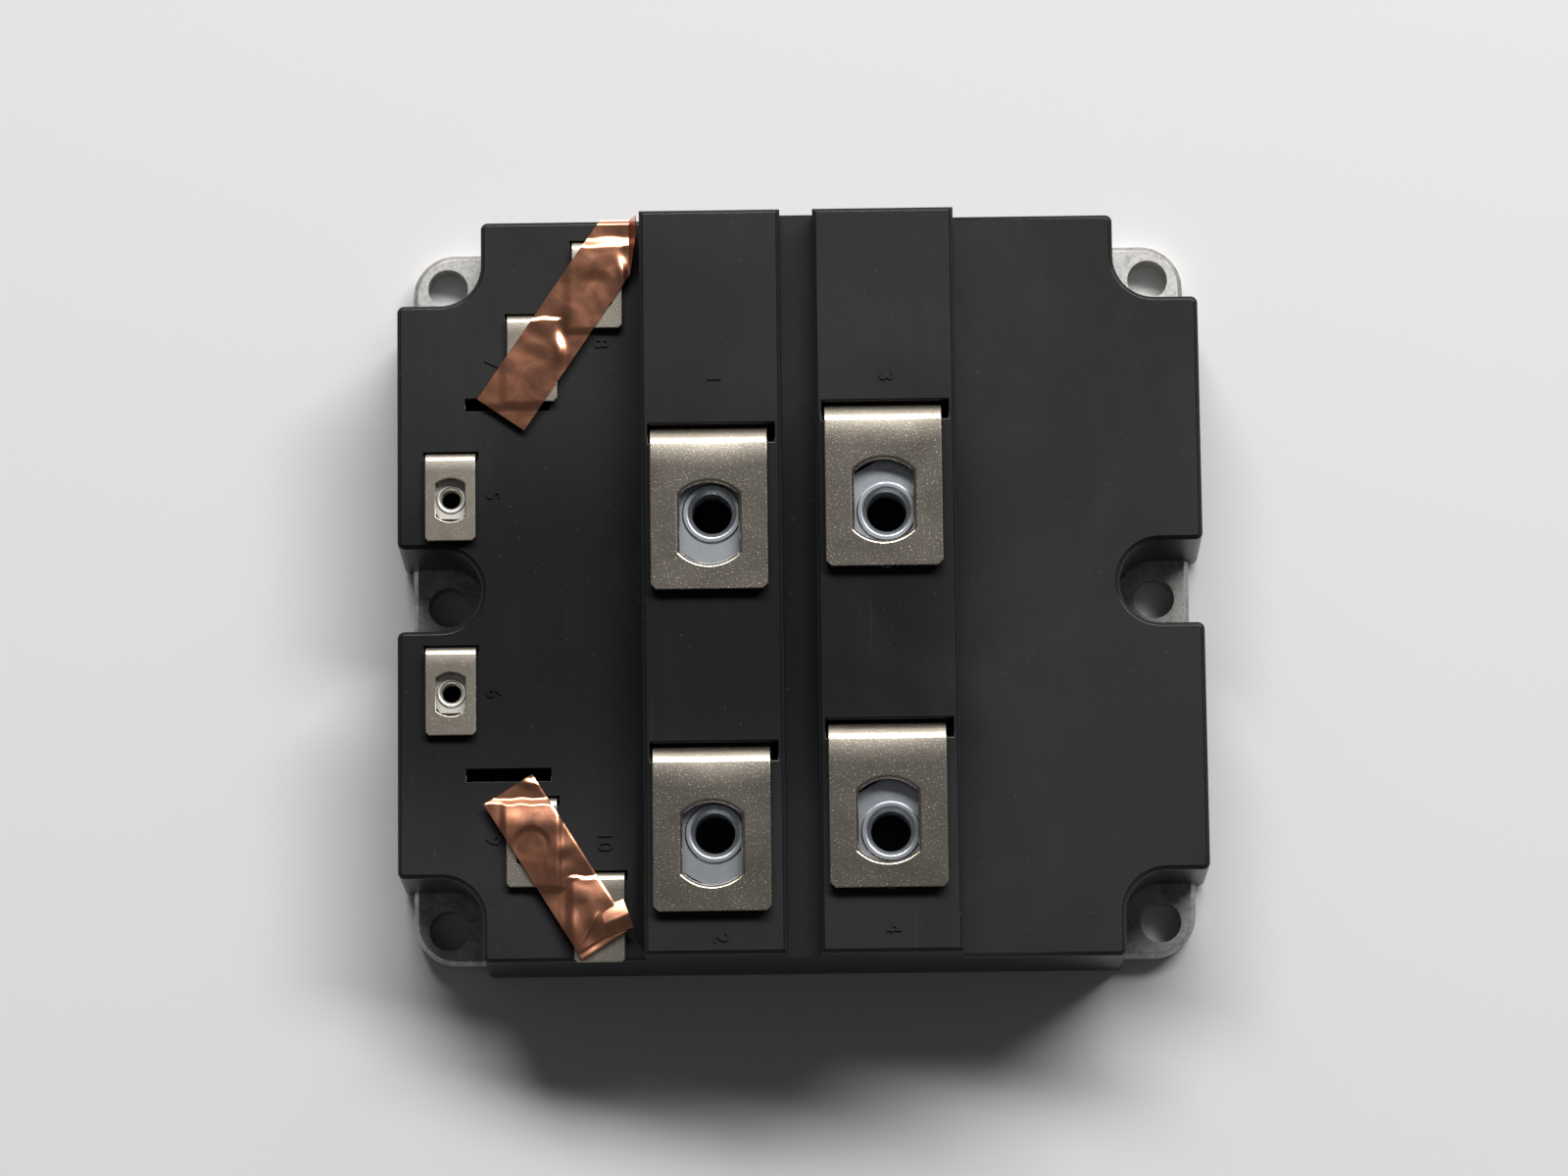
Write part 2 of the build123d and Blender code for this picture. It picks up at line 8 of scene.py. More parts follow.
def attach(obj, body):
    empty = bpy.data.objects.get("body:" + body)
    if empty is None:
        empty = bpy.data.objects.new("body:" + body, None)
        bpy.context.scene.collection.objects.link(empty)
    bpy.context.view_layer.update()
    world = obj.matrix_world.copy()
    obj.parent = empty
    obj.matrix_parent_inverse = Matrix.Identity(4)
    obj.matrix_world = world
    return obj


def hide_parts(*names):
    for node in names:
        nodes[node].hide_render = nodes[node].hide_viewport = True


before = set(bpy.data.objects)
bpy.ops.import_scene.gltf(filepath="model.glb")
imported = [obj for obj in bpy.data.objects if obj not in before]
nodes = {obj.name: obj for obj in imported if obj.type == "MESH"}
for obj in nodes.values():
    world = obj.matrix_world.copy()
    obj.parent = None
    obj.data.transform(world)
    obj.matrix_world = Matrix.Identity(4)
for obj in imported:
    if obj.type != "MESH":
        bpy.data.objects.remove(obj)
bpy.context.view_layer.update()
mm = 0.001
print("frame loaded:", len(nodes), "nodes")


# shader sums

class Wire:
    def __init__(self, tree, socket):
        self.tree = tree
        self.socket = socket

    # any node: its settings first, then its sockets
    def add(self, kind, settings, sockets, output=0):
        node = self.tree.nodes.new(kind)
        for key, value in settings.items():
            setattr(node, key, value)
        for key, value in sockets.items():
            if isinstance(value, Wire):
                self.tree.links.new(value.socket, node.inputs[key])
            else:
                node.inputs[key].default_value = value
        return Wire(self.tree, node.outputs[output])

    def sum(self, operation, first, second):
        return self.add("ShaderNodeMath", {"operation": operation}, {0: first, 1: second})

    def __add__(self, other):
        return self.sum("ADD", self, other)

    def __radd__(self, other):
        return self.sum("ADD", other, self)

    def __sub__(self, other):
        return self.sum("SUBTRACT", self, other)

    def __rsub__(self, other):
        return self.sum("SUBTRACT", other, self)

    def __mul__(self, other):
        return self.sum("MULTIPLY", self, other)

    def __rmul__(self, other):
        return self.sum("MULTIPLY", other, self)


def startFinish(name, constants):
    finish = bpy.data.materials.new(name)
    finish.use_nodes = True
    tree = finish.node_tree
    shader = tree.nodes["Principled BSDF"]
    for socket, value in constants.items():
        shader.inputs[socket].default_value = value
    place = Wire(tree, tree.nodes.new("ShaderNodeTexCoord").outputs["Object"])
    return finish, shader, place


def plug(shader, links):
    for socket, wire in links.items():
        wire.tree.links.new(wire.socket, shader.inputs[socket])


def cloud(place, scale, detail=2.0, roughness=0.5, distortion=0.0):
    return place.add(
        "ShaderNodeTexNoise", {},
        {
            "Vector": place, "Scale": scale, "Detail": detail,
            "Roughness": roughness, "Distortion": distortion,
        },
    )


# from low to high becomes 0 to 1, clamped
def rise(value, low, high):
    return value.add(
        "ShaderNodeMapRange", {"interpolation_type": "SMOOTHSTEP"},
        {"Value": value, "From Min": low, "From Max": high},
    )


# a Mix node's colours are its sockets 6 and 7 and its output 2
def blendTones(mask, first, second):
    return mask.add("ShaderNodeMix", {"data_type": "RGBA"}, {0: mask, 6: first, 7: second}, 2)


def bump(height, strength=1.0, distance=1.0):
    return height.add(
        "ShaderNodeBump", {}, {"Strength": strength, "Distance": distance, "Height": height},
    )


def stretched(place, scale, turn):
    return place.add("ShaderNodeMapping", {}, {"Vector": place, "Scale": scale, "Rotation": turn})


def splitPlace(place, axis):
    return place.add("ShaderNodeSeparateXYZ", {}, {"Vector": place}, axis)


# finishes

# the worn tone is real wear in the patches and smears, and painted highlight where it lightens the
# tower ends and the right deck
plasticLook = {
    "dark": (0.0036, 0.0042, 0.0048, 1), "worn": (0.0098, 0.0104, 0.0108, 1),
    "dust": (0.08, 0.08, 0.08, 1), "dusty": 0.3, "hairs": 0.25,
    "specular": 0.42, "grain": 0.012 * mm, "grainGloss": 0.08,
    "middleY": -6 * mm, "endsFrom": 10 * mm, "endsTo": 46 * mm,
    "rightFrom": 14 * mm, "rightTo": 40 * mm,
    "litPeak": 0.85, "litPlaces": 0.76, "patchy": 0.2, "smeared": 0.18,
}


# painted highlight: the lighter tone is strongest on the far and near ends and on the right deck,
# where the window's light falls; random patches and smears are real wear
def makePlastic(name, dull, sheen):
    look = plasticLook
    finish, shader, place = startFinish(name, {"Specular IOR Level": look["specular"]})
    patches = cloud(place, scale=24, detail=3, roughness=0.6, distortion=0.8)
    patches = rise(patches, low=0.40, high=0.68)
    slanting = stretched(place, scale=(1, 0.4, 1), turn=(0, 0, 0.5))
    smears = cloud(slanting, scale=80, detail=4, roughness=0.65, distortion=0.6)
    smears = rise(smears, low=0.48, high=0.74)
    along = splitPlace(place, 1) - look["middleY"]
    ends = rise(along.sum("ABSOLUTE", along, 0.0), look["endsFrom"], look["endsTo"])
    rightDeck = rise(splitPlace(place, 0), look["rightFrom"], look["rightTo"])
    # painted highlight: a mask of the tower ends and the right deck, the places that the light
    # makes brighter
    litPlaces = ends.sum("MAXIMUM", look["litPeak"] * ends, look["litPeak"] * rightDeck)
    paintedLightAndWear = look["litPlaces"] * litPlaces + look["patchy"] * patches + look["smeared"] * smears
    grain = cloud(place, scale=4200, roughness=0.6)
    pores = cloud(place, scale=1300)
    hairs = cloud(stretched(place, scale=(1, 0.04, 1), turn=(0, 0, 0.9)), scale=700, detail=1)
    hairs = rise(hairs, low=0.76, high=0.80)
    specks = rise(cloud(place, scale=1500, detail=0), low=0.80, high=0.86)
    marks = hairs.sum("MAXIMUM", look["hairs"] * hairs, specks)
    # the lighter tone is painted highlight on the lit places and real wear in the patches and
    # smears
    tone = blendTones(paintedLightAndWear, look["dark"], look["worn"])
    plug(shader, {
        "Base Color": blendTones(look["dusty"] * marks, tone, look["dust"]),
        "Roughness": dull - sheen * paintedLightAndWear + look["grainGloss"] * (grain - 0.5),
        "Normal": bump((grain + pores) * look["grain"]),
    })
    return finish


nickelLooks = {
    "main": {
        "light": (0.675, 0.615, 0.523, 1), "shade": (0.51, 0.458, 0.38, 1),
        "reach": 7.5 * mm, "sag": 0.92 * mm, "bendAt": 0.71, "straighten": 5.1,
        "half": 10.0 * mm, "smile": 0.13, "wave": 0.3 * mm,
        "grain": 0.014 * mm, "rough": 0.23, "sparkle": 0.23,
    },
    "control": {
        "light": (0.73, 0.665, 0.565, 1), "shade": (0.55, 0.495, 0.41, 1),
        "reach": 3.2 * mm, "sag": 0.24 * mm, "bendAt": 0.63, "straighten": 3.9,
        "half": 4.35 * mm, "smile": 0.0, "wave": 0.1 * mm,
        "grain": 0.010 * mm, "rough": 0.29, "sparkle": 0.16,
    },
}
nickelWear = {"stained": 0.6, "grainTone": 0.2, "grainGloss": 0.05, "bendGloss": 0.03}


# the tabs' normals are bumped as if they sagged a little towards their bends and straightened on
# them, and their grain sparkles
def makeNickel(name, kind, middleX, backY):
    look = nickelLooks[kind]
    wear = nickelWear
    finish, shader, place = startFinish(name, {"Metallic": 1.0})
    grain = cloud(place, scale=3600, roughness=0.55)
    speckle = rise(cloud(place, scale=3500, detail=1), low=0.62, high=0.74)
    stains = cloud(place, scale=130, detail=3, roughness=0.6, distortion=0.5)
    stains = rise(stains, low=0.4, high=0.7)
    waves = cloud(place, scale=75, detail=1)
    toBend = (splitPlace(place, 1) - (backY - look["reach"])) * (1 / look["reach"])
    aside = (splitPlace(place, 0) - middleX) * (1 / look["half"])
    sunk = toBend - aside * aside * look["smile"]
    bow = sunk.sum("MAXIMUM", sunk, 0.0)
    onBend = toBend.sum("MAXIMUM", toBend - look["bendAt"], 0.0)
    drop = (bow * bow - onBend * onBend * look["straighten"]) * look["sag"]
    worn = wear["stained"] * stains + wear["grainTone"] * grain
    gloss = wear["grainGloss"] * grain + look["sparkle"] * speckle + wear["bendGloss"] * bow
    plug(shader, {
        "Base Color": blendTones(worn, look["light"], look["shade"]),
        "Roughness": look["rough"] + gloss,
        "Normal": bump(grain * look["grain"] + waves * look["wave"] - drop),
    })
    return finish


zincLooks = {
    "main": {"light": (0.66, 0.70, 0.75, 1), "shade": (0.46, 0.50, 0.545, 1), "rough": 0.3},
    "control": {"light": (0.88, 0.86, 0.80, 1), "shade": (0.76, 0.74, 0.68, 1), "rough": 0.4},
}
zincWear = {"cloudGloss": 0.16, "relief": 0.02 * mm, "reliefShare": 0.3, "threadShare": 0.5}


# thread is its pitch, or 0 on a plain face
def makeZinc(name, kind, thread):
    look = zincLooks[kind]
    wear = zincWear
    finish, shader, place = startFinish(name, {"Metallic": 1.0})
    cloudy = cloud(place, scale=320, detail=3, roughness=0.6, distortion=0.8)
    tone = blendTones(rise(cloudy, low=0.35, high=0.7), look["light"], look["shade"])
    if thread:
        turn = splitPlace(place, 2) * (1 / thread)
        height = turn.sum("PINGPONG", turn, 0.5)
        normal = bump(height, wear["threadShare"], 0.5 * thread)
    else:
        scratches = cloud(stretched(place, scale=(1, 0.05, 1), turn=(0, 0, 0.3)), scale=1800)
        height = 0.5 * cloud(place, scale=1400) + 0.5 * scratches
        normal = bump(height, wear["reliefShare"], wear["relief"])
    plug(shader, {
        "Base Color": tone,
        "Roughness": look["rough"] + wear["cloudGloss"] * cloudy,
        "Normal": normal,
    })
    return finish


plateLook = {
    "light": (0.63, 0.625, 0.606, 1), "shade": (0.34, 0.337, 0.328, 1), "rough": 0.42,
    "mottled": 0.55, "flecked": 0.45, "mottleGloss": 0.14, "layGloss": 0.1,
    "relief": 0.03 * mm, "reliefShare": 0.3, "rolled": 0.6, "pitted": 0.6,
}


def makePlateMetal():
    look = plateLook
    finish, shader, place = startFinish("plated base metal", {"Metallic": 1.0})
    mottle = cloud(place, scale=210, detail=4, roughness=0.65, distortion=0.6)
    mottle = rise(mottle, low=0.36, high=0.7)
    flecks = rise(cloud(place, scale=1700), low=0.42, high=0.68)
    lay = cloud(stretched(place, scale=(0.06, 1, 1), turn=(0, 0, 0.2)), scale=1500)
    pits = cloud(place, scale=900, detail=3)
    worn = look["mottled"] * mottle + look["flecked"] * flecks
    height = look["rolled"] * lay + look["pitted"] * pits
    plug(shader, {
        "Base Color": blendTones(worn, look["light"], look["shade"]),
        "Roughness": look["rough"] + look["mottleGloss"] * mottle + look["layGloss"] * lay,
        "Normal": bump(height, look["reliefShare"], look["relief"]),
    })
    return finish


foilLook = {
    "light": (0.84, 0.385, 0.235, 1), "shade": (0.66, 0.285, 0.17, 1), "rough": 0.22,
    "tarnished": 0.7, "tarnishGloss": 0.08, "wrinkle": 0.1 * mm,
}


def makeFoilCopper():
    look = foilLook
    finish, shader, place = startFinish("copper foil", {"Metallic": 1.0})
    tarnish = cloud(place, scale=170, detail=3, roughness=0.55, distortion=0.7)
    tarnish = rise(tarnish, low=0.35, high=0.7)
    wrinkles = cloud(place, scale=190, detail=1, distortion=0.3)
    plug(shader, {
        "Base Color": blendTones(look["tarnished"] * tarnish, look["light"], look["shade"]),
        "Roughness": look["rough"] + look["tarnishGloss"] * tarnish,
        "Normal": bump(wrinkles * look["wrinkle"]),
    })
    return finish


innerLooks = {
    "copper layer": {
        "light": (0.72, 0.40, 0.27, 1), "shade": (0.52, 0.26, 0.17, 1),
        "metal": 1.0, "rough": 0.34, "scale": 500,
    },
    "solder layer": {
        "light": (0.62, 0.62, 0.61, 1), "shade": (0.45, 0.45, 0.44, 1),
        "metal": 1.0, "rough": 0.42, "scale": 700,
    },
    "white ceramic": {
        "light": (0.80, 0.80, 0.77, 1), "shade": (0.70, 0.70, 0.68, 1),
        "metal": 0.0, "rough": 0.55, "scale": 900,
    },
    "silicon chip": {
        "light": (0.30, 0.31, 0.35, 1), "shade": (0.20, 0.21, 0.25, 1),
        "metal": 0.9, "rough": 0.22, "scale": 400,
    },
    "aluminium wire": {
        "light": (0.80, 0.80, 0.80, 1), "shade": (0.66, 0.66, 0.67, 1),
        "metal": 1.0, "rough": 0.3, "scale": 900,
    },
    "chip resistor": {
        "light": (0.05, 0.05, 0.055, 1), "shade": (0.03, 0.03, 0.033, 1),
        "metal": 0.0, "rough": 0.5, "scale": 900,
    },
    "grey adhesive": {
        "light": (0.10, 0.10, 0.10, 1), "shade": (0.06, 0.06, 0.06, 1),
        "metal": 0.0, "rough": 0.6, "scale": 300,
    },
    "potting gel": {
        "light": (0.74, 0.75, 0.72, 1), "shade": (0.66, 0.68, 0.65, 1),
        "metal": 0.0, "rough": 0.18, "scale": 60,
    },
}
innerWear = {"cloudGloss": 0.12, "relief": 0.02 * mm, "reliefShare": 0.2}


def makeInner(name):
    look = innerLooks[name]
    finish, shader, place = startFinish(name, {"Metallic": look["metal"]})
    cloudy = cloud(place, look["scale"], detail=3, roughness=0.6, distortion=0.4)
    cloudy = rise(cloudy, low=0.35, high=0.7)
    plug(shader, {
        "Base Color": blendTones(cloudy, look["light"], look["shade"]),
        "Roughness": look["rough"] + innerWear["cloudGloss"] * cloudy,
        "Normal": bump(cloudy, innerWear["reliefShare"], innerWear["relief"]),
    })
    return finish


plastic = makePlastic("black moulding", dull=0.93, sheen=0.30)
rubbedPlastic = makePlastic("rubbed edges", dull=0.2, sheen=0.04)
wallPlastic = makePlastic("drawn walls", dull=0.38, sheen=0.04)
zincMain = makeZinc("blue zinc plate", "main", thread=0)
zincControl = makeZinc("pale zinc plate", "control", thread=0)
threadMain = makeZinc("coarse thread", "main", thread=1.25 * mm)
threadControl = makeZinc("fine thread", "control", thread=0.7 * mm)
plateMetal = makePlateMetal()
foilCopper = makeFoilCopper()
inner = {name: makeInner(name) for name in innerLooks}
print("finishes made:", len(bpy.data.materials))


# hidden pieces keep their solids and get their finishes

innerFinishes = {
    "substrate_solder": "solder layer",
    "substrate_back_copper": "copper layer",
    "substrate_circuit": "copper layer",
    "substrate_ceramic": "white ceramic",
    "igbt_chips": "silicon chip",
    "diode_chips": "silicon chip",
    "bond_wires": "aluminium wire",
    "gate_resistor": "chip resistor",
    "housing_adhesive": "grey adhesive",
    "silicone_gel": "potting gel",
}
for name, node in nodes.items():
    for stem, finish in innerFinishes.items():
        if name.startswith(stem):
            node.data.materials.clear()
            node.data.materials.append(inner[finish])


# rigid pieces: the solid's own form with its edges broken

meshRules = {
    "merge": 0.002 * mm,                 # vertices closer than this are one
    "flat": math.radians(0.4),           # faces that differ by less are one
    "edge": math.radians(32),            # edges that turn by more are broken
    "sharp": math.radians(42),           # edges that turn by more are shaded sharp
    "upright": 0.3,                      # walls have a normal that rises by less
    "level": 0.01 * mm,                  # vertices this close to the top are on it
}


def showPiece(bm, name, finishes, replaced):
    mesh = bpy.data.meshes.new(name)
    bm.to_mesh(mesh)
    bm.free()
    for finish in finishes:
        mesh.materials.append(finish)
    mesh.shade_smooth()
    mesh.set_sharp_from_angle(angle=meshRules["sharp"])
    piece = bpy.data.objects.new(name, mesh)
    bpy.context.scene.collection.objects.link(piece)
    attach(piece, "root")
    if replaced:
        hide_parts(*replaced)
    return piece


def solidCopy(node):
    bm = bmesh.new()
    bm.from_mesh(nodes[node].data)
    bmesh.ops.remove_doubles(bm, verts=bm.verts, dist=meshRules["merge"])
    bmesh.ops.dissolve_limit(bm, angle_limit=meshRules["flat"], verts=bm.verts, edges=bm.edges)
    return bm


def breakEdges(bm, width, steps, keep):
    edges = [
        edge for edge in bm.edges
        if edge.is_manifold and edge.calc_face_angle(0) > meshRules["edge"] and keep(edge)
    ]
    broken = bmesh.ops.bevel(
        bm, geom=edges, offset=width, offset_type="OFFSET", affect="EDGES", segments=steps,
        profile=0.5, material=-1, clamp_overlap=True,
    )
    return broken["faces"]


def isConvex(edge):
    return edge.is_convex


def isUpright(face):
    return abs(face.normal.z) < meshRules["upright"]


def evenShading(piece):
    even = piece.modifiers.new("even shading", "WEIGHTED_NORMAL")
    even.keep_sharp = True


def topOf(bm):
    return max(vert.co.z for vert in bm.verts) - meshRules["level"]


straps = {
    "main": {"count": 4, "edge": 0.33 * mm, "steps": 3},
    "control": {"count": 6, "edge": 0.16 * mm, "steps": 3},
}
for kind, look in straps.items():
    for number in range(1, look["count"] + 1):
        name = f"{kind}_terminal_{number}"
        bm = solidCopy(name)
        top = topOf(bm)
        across = [vert.co.x for vert in bm.verts if vert.co.z > top]
        middleX = (min(across) + max(across)) / 2
        backY = max(vert.co.y for vert in bm.verts)
        breakEdges(bm, look["edge"], look["steps"], isConvex)
        nickel = makeNickel(f"nickel of {name}", kind, middleX, backY)
        evenShading(showPiece(bm, name + "_strap", [nickel], [name]))
print("straps made")

plateEdge = {"width": 0.3 * mm, "steps": 2}
bm = solidCopy("base_plate")
breakEdges(bm, plateEdge["width"], plateEdge["steps"], isConvex)
evenShading(showPiece(bm, "base_plate_metal", [plateMetal], ["base_plate"]))

housingEdge = {"width": 0.33 * mm, "steps": 3, "lowest": 22 * mm}
housingFinishes = [plastic, rubbedPlastic, wallPlastic]


def isHighRim(edge):
    return edge.is_convex and min(vert.co.z for vert in edge.verts) > housingEdge["lowest"]


bm = solidCopy("housing")
rims = breakEdges(bm, housingEdge["width"], housingEdge["steps"], isHighRim)
for face in bm.faces:
    if isUpright(face):
        face.material_index = housingFinishes.index(wallPlastic)
for face in rims:
    face.material_index = housingFinishes.index(rubbedPlastic)
evenShading(showPiece(bm, "housing_moulding", housingFinishes, ["housing"]))
print("housing made")

# the collars are lower than the solids' and countersunk, with places in mm
nutLooks = {
    "main_nuts": {
        "face": zincMain, "thread": threadMain, "bore": 3.4 * mm,
        "sink": 0.8 * mm, "cone": 0.8 * mm, "lip": 0.16 * mm,
        "spots": [(-14.9, 11.25), (-14.9, -43.55), (14.9, 11.25), (14.9, -43.55)],
    },
    "control_nuts": {
        "face": zincControl, "thread": threadControl, "bore": 1.65 * mm,
        "sink": 0.6 * mm, "cone": 0.4 * mm, "lip": 0.1 * mm,
        "spots": [
            (-60.1, 15.8), (-60.1, -17.9), (-45.9, 39.91),
            (-34.6, 52.7), (-46.35, -44.1), (-34.85, -57.0),
        ],
    },
}
nutSteps = {"cone": 1, "lip": 3, "boreSlack": 1.02}


def inBore(point, look):
    reach = min(math.hypot(point.x - x * mm, point.y - y * mm) for x, y in look["spots"])
    return reach < look["bore"] * nutSteps["boreSlack"]


for name, look in nutLooks.items():
    bm = solidCopy(name)
    top = topOf(bm)
    for vert in bm.verts:
        if vert.co.z > top:
            vert.co.z -= look["sink"]
    top -= look["sink"]
    low = top - look["cone"]
    breakEdges(
        bm, look["cone"], nutSteps["cone"],
        lambda edge: all(vert.co.z > top and inBore(vert.co, look) for vert in edge.verts),
    )
    breakEdges(
        bm, look["lip"], nutSteps["lip"],
        lambda edge: all(vert.co.z > low for vert in edge.verts),
    )
    for face in bm.faces:
        if isUpright(face) and inBore(face.calc_center_median(), look):
            face.material_index = 1
    evenShading(showPiece(bm, name + "_plated", [look["face"], look["thread"]], [name]))
print("nuts made")


# copper foil strips, pressed over the control tabs, in mm and degrees

foils = {
    "shorting_foil_1": {
        "middle": (-40.25, 46.45), "turn": 55.7, "start": -19.7, "end": 24.0, "width": 9.8,
        "tabs": [
            {"x": -45.9, "back": 47.7, "dent": 0.14, "spread": 2.8, "loose": 0.0, "drape": 1.9},
            {"x": -34.6, "back": 60.5, "dent": 0.2, "spread": 2.4, "loose": 0.15, "drape": 2.3},
        ],
        "facets": [
            {"x": -40.9, "y": 43.0, "faces": 35, "slope": 0.34, "halfX": 0.9, "halfY": 2.6},
            {"x": -30.1, "y": 56.6, "faces": 35, "slope": 0.26, "halfX": 0.8, "halfY": 2.4},
        ],
        "ridges": [],
        "wallX": -28.9, "farY": 64.35, "curlEnd": 0.0, "curlSide": 0.0, "seed": 3.0,
        "foldedCorner": None,
    },
    "shorting_foil_2": {
        "middle": (-40.6, -50.4), "turn": -58.0, "start": -18.4, "end": 13.1, "width": 9.8,
        "tabs": [
            {"x": -46.35, "back": -36.3, "dent": 0.26, "spread": 1.1, "loose": 0.66, "drape": 1.5},
            {"x": -34.85, "back": -49.2, "dent": 0.1, "spread": 2.4, "loose": 0.8, "drape": 2.0},
        ],
        "facets": [
            {"x": -46.1, "y": -33.3, "faces": 15, "slope": 0.4, "halfX": 1.7, "halfY": 0.9},
            {"x": -35.8, "y": -58.6, "faces": 190, "slope": 0.22, "halfX": 1.7, "halfY": 2.6},
            {"x": -40.6, "y": -45.9, "faces": 150, "slope": 0.2, "halfX": 1.6, "halfY": 1.6},
            {"x": -39.6, "y": -56.4, "faces": 20, "slope": 0.14, "halfX": 2.4, "halfY": 3.4},
        ],
        "ridges": [((-34.9, -55.9), (-37.7, -61.4))],
        "wallX": None, "farY": None, "curlEnd": 0.13, "curlSide": 0.07, "seed": 11.0,
        "foldedCorner": {
            "corners": [(-34.6, -55.5), (-30.8, -53.9), (-29.0, -58.7), (-33.5, -60.4)],
            "low": 28.8, "ridge": 1.05, "ridgeAt": 0.55, "fall": 0.6, "firstShare": 0.6, "grid": 24,
        },
    },
}
foilSize = {"along": 230, "across": 60, "thickness": 0.1}
tabSize = {"side": 4.35, "length": 15.3, "top": 28.0, "hole": 8.2, "inset": 0.2, "bend": 1.3}
drapeSize = {"over": 0.2, "drop": 0.62, "sideShare": 0.36, "frontShare": 0.6}
swaySize = {"height": 0.55, "perX": 0.34, "perY": 0.12, "seed": 9}
dentSize = {"reach": 3.5, "from": -3.0, "to": 2.5}
slackSize = {"from": -0.3, "to": 5, "held": 0.75, "aside": 5}
ridgeSize = {"height": 0.16, "half": 0.36}
hemSize = {"top": 1.0, "foot": 1.25, "side": 0.35, "far": 0.45, "farFrom": 0.9}
waveSize = {"height": 0.16, "per": 0.16, "seed": 0}
crumpleSize = {"height": 0.04, "per": 0.4, "seed": 5}
wallFold = {"lean": 0.28, "mostLean": 1.2, "climb": 0.9}


def smoothStep(value, low, high):
    part = min(max((value - low) / (high - low), 0), 1)
    return part * part * (3 - 2 * part)


def ripple(x, y, perX, perY, seed):
    return noise.noise(Vector((x * perX, y * perY, seed)))


# lying on its tabs: the foil's lift, its dents over their holes and its slack
def overTabs(x, y, look):
    lift = 0
    dent = 0
    loose = 0
    sway = ripple(x, y, swaySize["perX"], swaySize["perY"], look["seed"] + swaySize["seed"])
    for tab in look["tabs"]:
        side = max(abs(x - tab["x"]) - tabSize["side"] + tabSize["inset"], 0)
        back = max(y - tab["back"] + tabSize["bend"] + swaySize["height"] * sway, 0)
        front = max(tab["back"] - tabSize["length"] + tabSize["inset"] - y, 0)
        beside = drapeSize["sideShare"] * smoothStep(side, 0, tab["drape"])
        behind = smoothStep(back, 0, tab["drape"])
        before = drapeSize["frontShare"] * smoothStep(front, 0, tab["drape"])
        onTab = 1 - min(math.hypot(beside, behind, before), 1)
        lift = max(lift, onTab)
        down = y - tab["back"] + tabSize["hole"]
        reach = math.hypot(x - tab["x"], down)
        pressed = 1 - smoothStep(reach, dentSize["reach"] - tab["spread"], dentSize["reach"])
        hollow = pressed * smoothStep(down, dentSize["from"], dentSize["to"])
        dent = max(dent, tab["dent"] * hollow)
        free = smoothStep(tab["back"] - y, slackSize["from"], slackSize["to"])
        hold = 1 - slackSize["held"] * smoothStep(side, 0, slackSize["aside"])
        loose = max(loose, onTab * hold * tab["loose"] * free)
    return lift, dent, loose


# curled edges, tilted facets and raised creases
def curled(x, y, look):
    turn = math.radians(look["turn"])
    fromX = x - look["middle"][0]
    fromY = y - look["middle"][1]
    across = fromY * math.cos(turn) - fromX * math.sin(turn)
    toEnd = look["end"] - fromX * math.cos(turn) - fromY * math.sin(turn)
    edge = look["width"] / 2
    hem = smoothStep(toEnd, hemSize["top"], hemSize["foot"]) - smoothStep(toEnd, 0, hemSize["top"])
    curl = look["curlEnd"] * hem
    curl -= look["curlSide"] * smoothStep(across, edge - hemSize["side"], edge)
    if look["farY"]:
        curl -= hemSize["far"] * smoothStep(y, look["farY"] - hemSize["farFrom"], look["farY"])
    for facet in look["facets"]:
        offX = x - facet["x"]
        offY = y - facet["y"]
        faces = math.radians(facet["faces"])
        fade = math.exp(-(offX / facet["halfX"]) ** 2 - (offY / facet["halfY"]) ** 2)
        curl -= facet["slope"] * (offX * math.sin(faces) + offY * math.cos(faces)) * fade
    for start, end in look["ridges"]:
        part = geometry.intersect_point_line((x, y), start, end)[1]
        part = min(max(part, 0), 1)
        beside = (Vector((x, y)) - Vector(start).lerp(Vector(end), part)).length
        height = ridgeSize["height"] * math.sin(math.pi * part)
        curl += height * (1 - smoothStep(beside, 0, ridgeSize["half"]))
    return curl


def foilHeight(x, y, look):
    lift, dent, loose = overTabs(x, y, look)
    level = tabSize["top"] + drapeSize["over"] - drapeSize["drop"] * (1 - lift)
    height = level + loose - dent + curled(x, y, look)
    for pattern in (waveSize, crumpleSize):
        rippled = ripple(x, y, pattern["per"], pattern["per"], look["seed"] + pattern["seed"])
        height += pattern["height"] * rippled
    return height


def flatStrip(look):
    bm = bmesh.new()
    bmesh.ops.create_grid(bm, x_segments=foilSize["along"], y_segments=foilSize["across"], size=0.5)
    length = look["end"] - look["start"]
    bmesh.ops.scale(bm, vec=(length, look["width"], 1), verts=bm.verts)
    bmesh.ops.translate(bm, vec=((look["start"] + look["end"]) / 2, 0, 0), verts=bm.verts)
    turn = Matrix.Rotation(math.radians(look["turn"]), 3, "Z")
    bmesh.ops.rotate(bm, cent=(0, 0, 0), matrix=turn, verts=bm.verts)
    bmesh.ops.translate(bm, vec=(*look["middle"], 0), verts=bm.verts)
    if look["farY"]:
        bmesh.ops.bisect_plane(
            bm, geom=bm.verts[:] + bm.edges[:] + bm.faces[:], plane_co=(0, look["farY"], 0),
            plane_no=(0, 1, 0), clear_outer=True,
        )
    return bm


